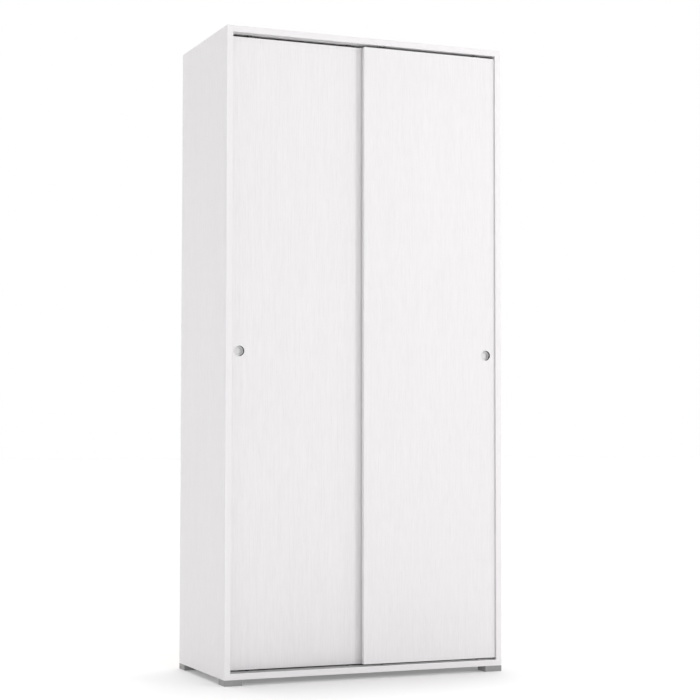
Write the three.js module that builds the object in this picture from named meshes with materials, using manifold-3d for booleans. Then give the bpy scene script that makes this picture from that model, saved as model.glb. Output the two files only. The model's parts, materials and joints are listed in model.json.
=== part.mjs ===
// A two-door sliding wardrobe: an 18 mm board carcass on four low feet, with two overlapping
// doors that roll on a double floor track and are guided by two channels let into the top panel.
// Millimetres. +X right, +Y to the back, +Z up; the origin is on the floor under the middle.

import * as THREE from "three";
import { mergeVertices } from "three/addons/utils/BufferGeometryUtils.js";
import Module from "manifold-3d";

const wasm = await Module();
wasm.setup();

// ---------------------------------------------------------------- driving dimensions

const WIDTH = 880;
const DEPTH = 450;
const HEIGHT = 1900;
const BOARD = 18;
const FOOT = { side: 55, height: 17, corner: 2, screwBore: 2.2, headBore: 5, headDepth: 12 };

// The hardboard back lies in a rebate of the sides, just inside their rear edges.
const BACK = { thickness: 3, inset: 1, rebate: 8.5, lap: 8, edgeGap: 2, jointGap: 0.3 };

// The front door runs on the right in the front lane, the rear door on the left behind it.
const DOOR = {
  width: 431.4,
  thickness: 16,
  recess: 6,
  laneGap: 6,
  sideGap: 0.6,
  topGap: 8,
  bottomGap: 6,
  fittingInset: 60,
};

// A finger pull's floor has a round dish in its middle, a little deeper than the ledge round it.
const PULL = { rim: 17, rimLip: 0.6, body: 15.9, cup: 15.1, ledgeDepth: 9.2, fillet: 1.2, floor: 1 };
const PULL_DISH = { radius: 9, depth: 10.9 };
const PULL_INSET = 31;
const PULL_HOLE = { radius: 16.2, depth: 12.4 };

const TRACK = { width: 44, base: 2, front: 3, ridgeHeight: 2.5, ridgeRadius: 1.2, endGap: 0.5 };
const WHEEL = { radius: 11, width: 5, bore: 2.08, grooveRadius: 9.8, grooveHalf: 1.5, axisRise: 10 };
const AXLE = { radius: 2, length: 10.4 };
const HOUSING = { length: 46, width: 11, height: 24, slotLength: 26, slotWidth: 6, slotHeight: 18 };
const HOUSING_PLATE = { length: 60, width: 12, thickness: 1.5 };

const CHANNEL = { width: 8, height: 9, wall: 1.2, lipWidth: 12, lip: 0.8 };
const GUIDE = { length: 30, width: 8, height: 20, plateLength: 36, plateWidth: 14, plate: 1.5 };
const TONGUE = { length: 16, width: 4, top: 6 };

const SHELF = { front: -165, back: 219, play: 2 };
const HAT_SHELF_TOP = 1610;
const FIXED_SHELF_TOP = 960;
// The adjustable shelves sit on a grid of pin holes, a whole number of steps apart.
const LOWER_SHELF_TOP = 497;
const PIN_GRID = { pitch: 32, stepsBetweenShelves: 29 };
const ADJUSTABLE_SHELF_TOPS = {
  lower: LOWER_SHELF_TOP,
  upper: LOWER_SHELF_TOP + PIN_GRID.stepsBetweenShelves * PIN_GRID.pitch,
};
const PIN = { radius: 2.5, collar: 4, collarLength: 1.5, inBoard: 8, underShelf: 8, inset: 50 };

const PARTITION_FRONT = -174;
const RAIL = { halfWidth: 7.5, straight: 15, wall: 1.2, drop: 70 };
const BRACKET = { plateWidth: 24, plateHeight: 56, plate: 2.5, cradle: 12, wall: 1.8, pegSpacing: 32 };
const BRACKET_SCREW = { shank: 1.9, length: 13, head: 3.6, headHeight: 1.8, tipGap: 1 };

const CAM = { radius: 7.5, height: 12.3, fromEnd: 34, fromEdge: 90 };
const CAM_SLOT = { length: 9, width: 1.8, depth: 2 };
const BUFFER = { radius: 5, thickness: 2.4, proud: 0.3, height: 1700 };

// Touching pieces keep GAP between them; a cutting tool reaches OVERSHOOT past the face it opens;
// corners closer than WELD are one.
const GAP = 0.3;
const OVERSHOOT = 1;
const WELD = 1e-4;
const SIDES = { large: 24, small: 16, smallRadius: 5 };
const ARC_STEPS = { corner: 4, halfTurn: 8 };

// ---------------------------------------------------------------- derived places

const HALF = WIDTH / 2;
const INNER = HALF - BOARD;
const FRONT = -DEPTH / 2;
const REAR = DEPTH / 2;
const CARCASS_REAR = REAR - BACK.inset - BACK.thickness;
const FLOOR = FOOT.height + BOARD;
const CEILING = HEIGHT - BOARD;
const PARTITION_HALF = BOARD / 2;

const FRONT_LANE = FRONT + DOOR.recess + DOOR.thickness / 2;
const REAR_LANE = FRONT_LANE + DOOR.thickness + DOOR.laneGap;
const DOOR_BOTTOM = FLOOR + DOOR.bottomGap;
const DOOR_TOP = CEILING - DOOR.topGap;
const DOOR_EDGE = INNER - DOOR.sideGap;
const PULL_HEIGHT = (DOOR_BOTTOM + DOOR_TOP) / 2;

const TRACK_FRONT = FRONT + TRACK.front;
const RIDGE_TOP = FLOOR + TRACK.ridgeHeight;
const WHEEL_AXIS = RIDGE_TOP + WHEEL.axisRise;
const RAIL_HEIGHT = HAT_SHELF_TOP - RAIL.drop;
const RAIL_DEPTH = (PARTITION_FRONT + CARCASS_REAR) / 2;

// ---------------------------------------------------------------- materials

const finish = (color, roughness, metalness = 0) =>
  new THREE.MeshStandardMaterial({ color, roughness, metalness });

const MATERIALS = {
  laminate: finish(0xf0eeef, 0.55),
  hardboard: finish(0xe9e7e6, 0.7),
  greyPlastic: finish(0x8f8f8f, 0.5),
  darkPlastic: finish(0x3a3a3c, 0.45),
  palePlastic: finish(0xc8c8c8, 0.4),
  clearRubber: finish(0xdcdcd8, 0.35),
  aluminium: finish(0x9a9b9d, 0.4, 0.8),
  satinMetal: finish(0xc4c5c8, 0.35, 0.9),
  steel: finish(0xb4b4b6, 0.3, 1),
};

// ---------------------------------------------------------------- geometry helpers

// A closed geometry as a manifold-3d solid.
function solid(geometry) {
  const bare = geometry.clone();
  bare.deleteAttribute("normal");
  bare.deleteAttribute("uv");
  const merged = mergeVertices(bare, WELD);
  const mesh = new wasm.Mesh({
    numProp: 3,
    vertProperties: merged.attributes.position.array,
    triVerts: new Uint32Array(merged.index.array),
  });
  return new wasm.Manifold(mesh);
}

// A solid back as a flat-shaded geometry.
function geometryOf(made) {
  const mesh = made.getMesh();
  const geometry = new THREE.BufferGeometry();
  geometry.setAttribute("position", new THREE.BufferAttribute(mesh.vertProperties, mesh.numProp));
  geometry.setIndex(new THREE.BufferAttribute(mesh.triVerts, 1));
  const flat = geometry.toNonIndexed();
  flat.computeVertexNormals();
  return flat;
}

function cut(base, ...tools) {
  const made = tools.reduce((body, tool) => body.subtract(solid(tool)), solid(base));
  return geometryOf(made);
}

function join(base, ...others) {
  const made = others.reduce((body, other) => body.add(solid(other)), solid(base));
  return geometryOf(made);
}

function box([x0, x1], [y0, y1], [z0, z1]) {
  const geometry = new THREE.BoxGeometry(x1 - x0, y1 - y0, z1 - z0);
  return geometry.translate((x0 + x1) / 2, (y0 + y1) / 2, (z0 + z1) / 2);
}

// A box by its centre and its size.
function block([x, y, z], [dx, dy, dz]) {
  return new THREE.BoxGeometry(dx, dy, dz).translate(x, y, z);
}

// The stretch of X between two distances out from a board's face; out is the way that it faces.
function spanX(face, out, from, to) {
  const ends = [face + out * from, face + out * to];
  return [Math.min(...ends), Math.max(...ends)];
}

// Round bars along each axis, from one end to the other.
function bar(radius, length) {
  const sides = radius < SIDES.smallRadius ? SIDES.small : SIDES.large;
  return new THREE.CylinderGeometry(radius, radius, length, sides);
}

function barX(radius, [x0, x1], y, z) {
  return bar(radius, x1 - x0).rotateZ(-Math.PI / 2).translate((x0 + x1) / 2, y, z);
}

function barY(radius, x, [y0, y1], z) {
  return bar(radius, y1 - y0).translate(x, (y0 + y1) / 2, z);
}

function barZ(radius, x, y, [z0, z1]) {
  return bar(radius, z1 - z0).rotateX(Math.PI / 2).translate(x, y, (z0 + z1) / 2);
}

// An outline drawn in Y and Z, extruded from x0 to x1.
function extrudeAlongX(shape, [x0, x1]) {
  const options = { depth: x1 - x0, bevelEnabled: false, curveSegments: ARC_STEPS.halfTurn };
  const toYZ = new THREE.Matrix4().makeBasis(
    new THREE.Vector3(0, 1, 0),
    new THREE.Vector3(0, 0, 1),
    new THREE.Vector3(1, 0, 0),
  );
  return new THREE.ExtrudeGeometry(shape, options).applyMatrix4(toYZ).translate(x0, 0, 0);
}

// A flat oval, upright, with round ends of the given radius on a straight stretch.
function oval(radius, straight, [y, z]) {
  const shape = new THREE.Shape();
  shape.absarc(y, z + straight / 2, radius, 0, Math.PI);
  shape.absarc(y, z - straight / 2, radius, Math.PI, 2 * Math.PI);
  shape.closePath();
  return shape;
}

// ---------------------------------------------------------------- the scene graph

const wardrobe = new THREE.Group();

function add(name, geometry, material) {
  const mesh = new THREE.Mesh(geometry, MATERIALS[material].clone());
  mesh.name = name;
  wardrobe.add(mesh);
}

// ---------------------------------------------------------------- shelf pins and their places

// Where the pins of the adjustable shelves go: two in the partition and two in the right side.
const pins = [];
for (const [shelf, top] of Object.entries(ADJUSTABLE_SHELF_TOPS)) {
  for (const [end, y] of [["front", SHELF.front + PIN.inset], ["back", SHELF.back - PIN.inset]]) {
    const z = top - BOARD - PIN.radius - GAP;
    pins.push({ name: `shelf_pin_${shelf}_left_${end}`, face: PARTITION_HALF, out: 1, y, z });
    pins.push({ name: `shelf_pin_${shelf}_right_${end}`, face: INNER, out: -1, y, z });
  }
}

function pinHole({ face, out, y, z }) {
  return barX(PIN.radius + GAP / 2, spanX(face, out, -PIN.inBoard - OVERSHOOT, 0), y, z);
}

// A steel pin with a collar that stops it at the board's face.
function pin({ face, out, y, z }) {
  const peg = barX(PIN.radius, spanX(face, out, -PIN.inBoard, PIN.underShelf), y, z);
  return join(peg, barX(PIN.collar, spanX(face, out, 0, PIN.collarLength), y, z));
}

// ---------------------------------------------------------------- hanging rail and its brackets

// The two ends of the rail: which way the bracket faces, and the board it is fixed to.
const railEnds = [
  { end: "outer", face: -INNER, out: 1 },
  { end: "inner", face: -PARTITION_HALF, out: -1 },
];

function bracketHoles({ face, out }) {
  const holes = [-1, 1].map((side) => {
    const z = RAIL_HEIGHT + (side * BRACKET.pegSpacing) / 2;
    return barX(PIN.radius + GAP / 2, spanX(face, out, -PIN.inBoard - OVERSHOOT, 0), RAIL_DEPTH, z);
  });
  const screw = spanX(face, out, -BRACKET_SCREW.length - BRACKET_SCREW.tipGap, 0);
  holes.push(barX(BRACKET_SCREW.shank + GAP / 2, screw, RAIL_DEPTH, RAIL_HEIGHT));
  return holes;
}

function bracket({ face, out }) {
  const centre = [RAIL_DEPTH, RAIL_HEIGHT];
  const plateX = spanX(face, out, 0, BRACKET.plate);
  const cradleX = spanX(face, out, 0, BRACKET.plate + BRACKET.cradle);
  const hollowX = spanX(face, out, BRACKET.plate, BRACKET.plate + BRACKET.cradle + OVERSHOOT);
  const inside = RAIL.halfWidth + GAP;
  const plateStraight = BRACKET.plateHeight - BRACKET.plateWidth;
  const plate = extrudeAlongX(oval(BRACKET.plateWidth / 2, plateStraight, centre), plateX);
  const shell = extrudeAlongX(oval(inside + BRACKET.wall, RAIL.straight, centre), cradleX);
  const hollow = extrudeAlongX(oval(inside, RAIL.straight, centre), hollowX);
  const past = inside + BRACKET.wall + OVERSHOOT;
  const mouthTop = RAIL_HEIGHT + RAIL.straight / 2 + past;
  const mouthY = [RAIL_DEPTH - past, RAIL_DEPTH + past];
  const mouth = box(hollowX, mouthY, [RAIL_HEIGHT + RAIL.straight / 2, mouthTop]);
  const pegs = [-1, 1].map((side) => {
    const z = RAIL_HEIGHT + (side * BRACKET.pegSpacing) / 2;
    return barX(PIN.radius, spanX(face, out, -PIN.inBoard, OVERSHOOT), RAIL_DEPTH, z);
  });
  const bore = barX(
    BRACKET_SCREW.shank + GAP / 2,
    spanX(face, out, -OVERSHOOT, BRACKET.plate + OVERSHOOT),
    RAIL_DEPTH,
    RAIL_HEIGHT,
  );
  return cut(join(plate, shell, ...pegs), hollow, mouth, bore);
}

function bracketScrew({ face, out }) {
  const shankEnd = BRACKET.plate + GAP + OVERSHOOT;
  const shankX = spanX(face, out, -BRACKET_SCREW.length, shankEnd);
  const headX = spanX(
    face,
    out,
    BRACKET.plate + GAP,
    BRACKET.plate + GAP + BRACKET_SCREW.headHeight,
  );
  const shank = barX(BRACKET_SCREW.shank, shankX, RAIL_DEPTH, RAIL_HEIGHT);
  const head = barX(BRACKET_SCREW.head, headX, RAIL_DEPTH, RAIL_HEIGHT);
  return join(shank, head);
}

function hangingRail() {
  const centre = [RAIL_DEPTH, RAIL_HEIGHT];
  const end = BRACKET.plate + GAP;
  const railX = [-INNER + end, -PARTITION_HALF - end];
  const pastX = [railX[0] - OVERSHOOT, railX[1] + OVERSHOOT];
  const tube = extrudeAlongX(oval(RAIL.halfWidth, RAIL.straight, centre), railX);
  const bore = extrudeAlongX(oval(RAIL.halfWidth - RAIL.wall, RAIL.straight, centre), pastX);
  return cut(tube, bore);
}

// ---------------------------------------------------------------- door buffers

// Soft pads let into the sides, one in each lane, which stop the doors at both ends of their travel.
const buffers = [["left", -1], ["right", 1]].flatMap(([across, side]) =>
  [["front", FRONT_LANE], ["rear", REAR_LANE]].map(([lane, y]) => ({
    name: `door_buffer_${across}_${lane}`,
    side,
    y,
  })),
);

function buffer({ side, y }) {
  const x = spanX(side * INNER, -side, BUFFER.proud - BUFFER.thickness, BUFFER.proud);
  return barX(BUFFER.radius, x, y, BUFFER.height);
}

function bufferBore({ side, y }) {
  const x = spanX(side * INNER, -side, BUFFER.proud - BUFFER.thickness - GAP, OVERSHOOT);
  return barX(BUFFER.radius + GAP, x, y, BUFFER.height);
}

// ---------------------------------------------------------------- carcass boards

// Side panels stand the full height, with the rebate for the back along the inner rear edge.
function sidePanel(side, ...holes) {
  const inner = side * INNER;
  const panel = box(spanX(inner, side, 0, BOARD), [FRONT, REAR], [FOOT.height, HEIGHT]);
  const rebate = box(
    spanX(inner, side, -OVERSHOOT, BACK.rebate),
    [CARCASS_REAR, REAR + OVERSHOOT],
    [FOOT.height - OVERSHOOT, HEIGHT + OVERSHOOT],
  );
  const bores = buffers.filter((one) => one.side === side).map(bufferBore);
  return cut(panel, rebate, ...bores, ...holes);
}

const cams = [-1, 1].flatMap((side) =>
  [["front", FRONT + CAM.fromEdge], ["back", CARCASS_REAR - CAM.fromEdge]].map(([end, y]) => ({
    name: `cam_lock_${side < 0 ? "left" : "right"}_${end}`,
    x: side * (INNER - CAM.fromEnd),
    y,
  })),
);

// The top panel has a groove for each guide channel and a blind bore for each cam.
function topPanel() {
  const panel = box([-INNER, INNER], [FRONT, CARCASS_REAR], [CEILING, HEIGHT]);
  const half = CHANNEL.width / 2 + GAP;
  const grooveZ = [CEILING - OVERSHOOT, CEILING + CHANNEL.height + GAP];
  const grooves = [FRONT_LANE, REAR_LANE].map((y) =>
    box([-HALF, HALF], [y - half, y + half], grooveZ),
  );
  const boreZ = [CEILING - OVERSHOOT, CEILING + CAM.height + GAP];
  const bores = cams.map(({ x, y }) => barZ(CAM.radius + GAP, x, y, boreZ));
  return cut(panel, ...grooves, ...bores);
}

// The bottom panel has a shallow seat for the floor track, so that only the ridges stand proud.
function bottomPanel() {
  const panel = box([-INNER, INNER], [FRONT, CARCASS_REAR], [FOOT.height, FLOOR]);
  const seatY = [TRACK_FRONT - GAP, TRACK_FRONT + TRACK.width + GAP];
  return cut(panel, box([-HALF, HALF], seatY, [FLOOR - TRACK.base, FLOOR + OVERSHOOT]));
}

function backPanel(side) {
  const inner = BACK.jointGap / 2;
  const outer = INNER + BACK.lap;
  const x = side < 0 ? [-outer, -inner] : [inner, outer];
  const z = [FOOT.height + BACK.edgeGap, HEIGHT - BACK.edgeGap];
  return box(x, [CARCASS_REAR, CARCASS_REAR + BACK.thickness], z);
}

function centrePartition() {
  const panel = box(
    [-PARTITION_HALF, PARTITION_HALF],
    [PARTITION_FRONT, CARCASS_REAR],
    [FLOOR, CEILING],
  );
  const pinHoles = pins.filter(({ out }) => out > 0).map(pinHole);
  return cut(panel, ...pinHoles, ...bracketHoles(railEnds[1]));
}

function camLock({ x, y }) {
  const disc = barZ(CAM.radius, x, y, [CEILING, CEILING + CAM.height]);
  const { length, width, depth } = CAM_SLOT;
  const slotZ = CEILING + (depth - OVERSHOOT) / 2;
  const long = block([x, y, slotZ], [length, width, depth + OVERSHOOT]);
  const cross = block([x, y, slotZ], [width, length, depth + OVERSHOOT]);
  return cut(disc, long, cross);
}

// A low square foot with round corners and a bore for its screw from below.
function foot(sideX, sideY) {
  const { side, corner, height } = FOOT;
  const shape = new THREE.Shape();
  const reach = side / 2 - corner;
  shape.absarc(reach, reach, corner, 0, Math.PI / 2);
  shape.absarc(-reach, reach, corner, Math.PI / 2, Math.PI);
  shape.absarc(-reach, -reach, corner, Math.PI, 1.5 * Math.PI);
  shape.absarc(reach, -reach, corner, 1.5 * Math.PI, 2 * Math.PI);
  const x = sideX * (HALF - side / 2);
  const y = sideY * (REAR - side / 2);
  const pad = new THREE.ExtrudeGeometry(shape, {
    depth: height,
    bevelEnabled: false,
    curveSegments: ARC_STEPS.corner,
  }).translate(x, y, 0);
  const shank = barZ(FOOT.screwBore, x, y, [-OVERSHOOT, height + OVERSHOOT]);
  return cut(pad, shank, barZ(FOOT.headBore, x, y, [-OVERSHOOT, FOOT.headDepth]));
}

add("left_side_panel", sidePanel(-1, ...bracketHoles(railEnds[0])), "laminate");
add("right_side_panel", sidePanel(1, ...pins.filter(({ out }) => out < 0).map(pinHole)), "laminate");
add("top_panel", topPanel(), "laminate");
add("bottom_panel", bottomPanel(), "laminate");
add("centre_partition", centrePartition(), "laminate");
add("back_panel_left", backPanel(-1), "hardboard");
add("back_panel_right", backPanel(1), "hardboard");
for (const cam of cams) add(cam.name, camLock(cam), "steel");
for (const [across, sideX] of [["left", -1], ["right", 1]]) {
  for (const [along, sideY] of [["front", -1], ["back", 1]]) {
    add(`foot_${along}_${across}`, foot(sideX, sideY), "greyPlastic");
  }
}

// ---------------------------------------------------------------- shelves and hanging rail

function shelf(x, top) {
  return box(x, [SHELF.front, SHELF.back], [top - BOARD, top]);
}

add("hat_shelf", shelf([-INNER, -PARTITION_HALF], HAT_SHELF_TOP), "laminate");
add("fixed_shelf", shelf([PARTITION_HALF, INNER], FIXED_SHELF_TOP), "laminate");
for (const [name, top] of Object.entries(ADJUSTABLE_SHELF_TOPS)) {
  const board = shelf([PARTITION_HALF + SHELF.play, INNER - SHELF.play], top);
  add(`adjustable_shelf_${name}`, board, "laminate");
}
for (const one of pins) add(one.name, pin(one), "steel");

add("hanging_rail", hangingRail(), "satinMetal");
for (const railEnd of railEnds) {
  add(`rail_bracket_${railEnd.end}`, bracket(railEnd), "satinMetal");
  add(`rail_bracket_screw_${railEnd.end}`, bracketScrew(railEnd), "steel");
}

// ---------------------------------------------------------------- floor track and top channels

// One flat strip with two round-topped ridges, one under each door.
function bottomTrack() {
  const low = FLOOR - TRACK.base;
  const back = TRACK_FRONT + TRACK.width;
  const shoulder = RIDGE_TOP - TRACK.ridgeRadius;
  const shape = new THREE.Shape();
  shape.moveTo(TRACK_FRONT, low);
  shape.lineTo(back, low);
  shape.lineTo(back, FLOOR);
  for (const lane of [REAR_LANE, FRONT_LANE]) {
    shape.lineTo(lane + TRACK.ridgeRadius, FLOOR);
    shape.absarc(lane, shoulder, TRACK.ridgeRadius, 0, Math.PI);
    shape.lineTo(lane - TRACK.ridgeRadius, FLOOR);
  }
  shape.lineTo(TRACK_FRONT, FLOOR);
  shape.closePath();
  return extrudeAlongX(shape, [-INNER + TRACK.endGap, INNER - TRACK.endGap]);
}

// A channel with its mouth down, held in its groove by two thin lips.
function topChannel(lane) {
  const x = [-INNER + TRACK.endGap, INNER - TRACK.endGap];
  const past = [-HALF, HALF];
  const half = CHANNEL.width / 2;
  const top = CEILING + CHANNEL.height;
  const body = box(x, [lane - half, lane + half], [CEILING - CHANNEL.lip, top]);
  const lipY = [lane - CHANNEL.lipWidth / 2, lane + CHANNEL.lipWidth / 2];
  const lips = box(x, lipY, [CEILING - CHANNEL.lip, CEILING]);
  const slotY = [lane - half + CHANNEL.wall, lane + half - CHANNEL.wall];
  const slotZ = [CEILING - CHANNEL.lip - OVERSHOOT, top - CHANNEL.wall];
  return cut(join(body, lips), box(past, slotY, slotZ));
}

add("bottom_track", bottomTrack(), "aluminium");
add("top_channel_front", topChannel(FRONT_LANE), "palePlastic");
add("top_channel_rear", topChannel(REAR_LANE), "palePlastic");

// ---------------------------------------------------------------- doors

// The cup of a finger pull: a thin rim on the door's face, and a filleted round recess.
function fingerPull(x, face) {
  const { rim, rimLip, body, cup, ledgeDepth, fillet, floor } = PULL;
  const turn = new THREE.Path();
  turn.moveTo(0, PULL_DISH.depth);
  turn.lineTo(PULL_DISH.radius, PULL_DISH.depth);
  turn.lineTo(PULL_DISH.radius, ledgeDepth);
  turn.lineTo(cup - fillet, ledgeDepth);
  turn.absarc(cup - fillet, ledgeDepth - fillet, fillet, Math.PI / 2, 0, true);
  turn.lineTo(cup, -rimLip);
  turn.lineTo(rim, -rimLip);
  turn.lineTo(rim, 0);
  turn.lineTo(body, 0);
  turn.lineTo(body, PULL_DISH.depth + floor);
  turn.lineTo(0, PULL_DISH.depth + floor);
  const profile = turn.getPoints(ARC_STEPS.corner);
  return new THREE.LatheGeometry(profile, SIDES.large).translate(x, face, PULL_HEIGHT);
}

// A grooved wheel, turned about Y.
function wheel(x, y) {
  const { radius, width, bore, grooveRadius, grooveHalf } = WHEEL;
  const half = width / 2;
  const profile = [
    [bore, -half],
    [radius, -half],
    [radius, -grooveHalf],
    [grooveRadius, -grooveHalf],
    [grooveRadius, grooveHalf],
    [radius, grooveHalf],
    [radius, half],
    [bore, half],
    [bore, -half],
  ].map(([r, across]) => new THREE.Vector2(r, across));
  return new THREE.LatheGeometry(profile, SIDES.large).translate(x, y, WHEEL_AXIS);
}

// A roller housing let into the door's bottom edge, open below for its wheel.
function rollerHousing(x, y) {
  const { length, width, height, slotLength, slotWidth, slotHeight } = HOUSING;
  const body = block([x, y, DOOR_BOTTOM + height / 2], [length, width, height]);
  const plateZ = DOOR_BOTTOM - HOUSING_PLATE.thickness / 2;
  const plateSize = [HOUSING_PLATE.length, HOUSING_PLATE.width, HOUSING_PLATE.thickness];
  const plate = block([x, y, plateZ], plateSize);
  const slotZ = [
    DOOR_BOTTOM - HOUSING_PLATE.thickness - OVERSHOOT,
    DOOR_BOTTOM + slotHeight,
  ];
  const slot = box(
    [x - slotLength / 2, x + slotLength / 2],
    [y - slotWidth / 2, y + slotWidth / 2],
    slotZ,
  );
  const bore = barY(AXLE.radius + GAP / 2, x, [y - width, y + width], WHEEL_AXIS);
  return cut(join(body, plate), slot, bore);
}

function rollerMortise(x, y) {
  const { length, width, height } = HOUSING;
  const size = [length + 2 * GAP, width + 2 * GAP, height + GAP + OVERSHOOT];
  return block([x, y, DOOR_BOTTOM + (height + GAP - OVERSHOOT) / 2], size);
}

// A top guide: a peg in the door's top edge, a cover plate, and a tongue in the channel.
function topGuide(x, y) {
  const { length, width, height, plateLength, plateWidth, plate } = GUIDE;
  const peg = block([x, y, DOOR_TOP - height / 2], [length, width, height]);
  const cover = block([x, y, DOOR_TOP + plate / 2], [plateLength, plateWidth, plate]);
  const tongueLength = CEILING + TONGUE.top - DOOR_TOP;
  const shape = new THREE.Shape();
  const reach = (TONGUE.length - TONGUE.width) / 2;
  shape.absarc(reach, 0, TONGUE.width / 2, -Math.PI / 2, Math.PI / 2);
  shape.absarc(-reach, 0, TONGUE.width / 2, Math.PI / 2, 1.5 * Math.PI);
  const tongue = new THREE.ExtrudeGeometry(shape, {
    depth: tongueLength,
    bevelEnabled: false,
    curveSegments: ARC_STEPS.halfTurn,
  }).translate(x, y, DOOR_TOP);
  return join(peg, cover, tongue);
}

function guideMortise(x, y) {
  const { length, width, height } = GUIDE;
  const size = [length + 2 * GAP, width + 2 * GAP, height + GAP + OVERSHOOT];
  return block([x, y, DOOR_TOP - (height + GAP - OVERSHOOT) / 2], size);
}

// One door with everything that travels on it. side is -1 for the left door, 1 for the right.
function addDoor(door, side, lane) {
  const outer = side * DOOR_EDGE;
  const x = spanX(outer, -side, 0, DOOR.width);
  const face = lane - DOOR.thickness / 2;
  const fittings = [
    ["left", x[0] + DOOR.fittingInset],
    ["right", x[1] - DOOR.fittingInset],
  ];
  const pullX = outer - side * PULL_INSET;
  const pullHoleY = [face - OVERSHOOT, face + PULL_HOLE.depth];
  const pullHole = barY(PULL_HOLE.radius, pullX, pullHoleY, PULL_HEIGHT);
  const board = box(x, [face, face + DOOR.thickness], [DOOR_BOTTOM, DOOR_TOP]);
  const mortises = fittings.flatMap(([, at]) => [rollerMortise(at, lane), guideMortise(at, lane)]);
  add(`${door}_door_panel`, cut(board, pullHole, ...mortises), "laminate");
  add(`${door}_finger_pull`, fingerPull(pullX, face), "satinMetal");
  for (const [end, at] of fittings) {
    const axle = barY(AXLE.radius, at, [lane - AXLE.length / 2, lane + AXLE.length / 2], WHEEL_AXIS);
    add(`${door}_door_roller_housing_${end}`, rollerHousing(at, lane), "darkPlastic");
    add(`${door}_door_wheel_${end}`, wheel(at, lane), "darkPlastic");
    add(`${door}_door_axle_${end}`, axle, "steel");
    add(`${door}_door_top_guide_${end}`, topGuide(at, lane), "darkPlastic");
  }
}

addDoor("left", -1, REAR_LANE);
addDoor("right", 1, FRONT_LANE);

for (const one of buffers) add(one.name, buffer(one), "clearRubber");

export default wardrobe;
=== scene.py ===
"""Looks of a two-door sliding wardrobe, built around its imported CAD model.

Every place comes from the CAD: boards are the CAD shapes with rounded arrises, drilled and edged as
real boards are, and the fittings are built again in finer meshes where their CAD nodes stand.
Metres. +X right, +Y to the back, +Z up.
"""

import json
import math

import bmesh
import bpy
from mathutils import Matrix, Vector

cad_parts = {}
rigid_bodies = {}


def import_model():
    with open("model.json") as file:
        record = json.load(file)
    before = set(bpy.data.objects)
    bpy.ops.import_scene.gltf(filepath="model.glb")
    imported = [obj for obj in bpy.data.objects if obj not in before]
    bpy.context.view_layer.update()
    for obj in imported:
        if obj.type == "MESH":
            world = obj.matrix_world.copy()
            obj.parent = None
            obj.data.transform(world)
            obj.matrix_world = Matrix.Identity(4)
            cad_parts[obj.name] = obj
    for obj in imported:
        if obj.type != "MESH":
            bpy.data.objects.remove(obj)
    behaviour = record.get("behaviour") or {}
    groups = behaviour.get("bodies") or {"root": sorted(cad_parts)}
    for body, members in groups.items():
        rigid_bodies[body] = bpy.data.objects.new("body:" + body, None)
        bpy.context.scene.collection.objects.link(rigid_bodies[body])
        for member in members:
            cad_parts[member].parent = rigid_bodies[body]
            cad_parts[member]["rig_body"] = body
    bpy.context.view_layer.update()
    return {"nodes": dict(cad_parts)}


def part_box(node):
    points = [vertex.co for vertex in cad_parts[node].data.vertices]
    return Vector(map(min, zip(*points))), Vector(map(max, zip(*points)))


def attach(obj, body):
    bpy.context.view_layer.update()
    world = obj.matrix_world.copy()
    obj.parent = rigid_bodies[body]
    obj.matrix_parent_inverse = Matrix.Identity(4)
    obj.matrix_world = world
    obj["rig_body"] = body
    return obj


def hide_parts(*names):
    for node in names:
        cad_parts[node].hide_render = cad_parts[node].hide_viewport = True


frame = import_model()

MM = 0.001
DOORS = ("left_door", "right_door")
ENDS = ("left", "right")
ROWS = ("front", "back")
X, Y, Z = Vector((1, 0, 0)), Vector((0, 1, 0)), Vector((0, 0, 1))
INWARD = {"left": X, "right": -X}

# ---------------------------------------------------------------- camera, world and lights

CAMERA_PLACE = (-2.012, -5.121, 0.696)
CAMERA_TURN = math.radians(23.694)
CAMERA_LIFT = math.radians(2.739)
CAMERA_LENS = 91.94
CAMERA_SHIFT = (-0.0859, 0.0084)

LIGHT_TINT = (1.0, 0.99, 0.995)
SKY_LIGHT = 0.55
HORIZON_LIGHT = 1.275
HORIZON_TOP = 0.5
KEY_ANGLE = math.radians(40)
KEY_DISTANCE = 7.0
KEY_HEIGHT = 2.8
KEY_SIZE = (0.09, 1.2)
KEY_POWER = 103
OVERHEAD_STRENGTH = 2.2
OVERHEAD_SPREAD = math.radians(23)
OVERHEAD_PLACE = (0.1, 0.37, 3.0)
FLOOR_WHITE = 0.72
FLOOR_GLOW = 0.12
FLOOR_ROUGHNESS = 0.9
FLOOR_REACH = 60


def add_camera():
    """A view from the front left, 0.7 m above the floor, that looks slightly upward."""
    data = bpy.data.cameras.new("camera")
    data.lens = CAMERA_LENS
    data.shift_x, data.shift_y = CAMERA_SHIFT
    camera = bpy.data.objects.new("camera", data)
    camera.location = CAMERA_PLACE
    camera.rotation_euler = (math.pi / 2 + CAMERA_LIFT, 0, -CAMERA_TURN)
    bpy.context.scene.collection.objects.link(camera)
    bpy.context.scene.camera = camera


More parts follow.
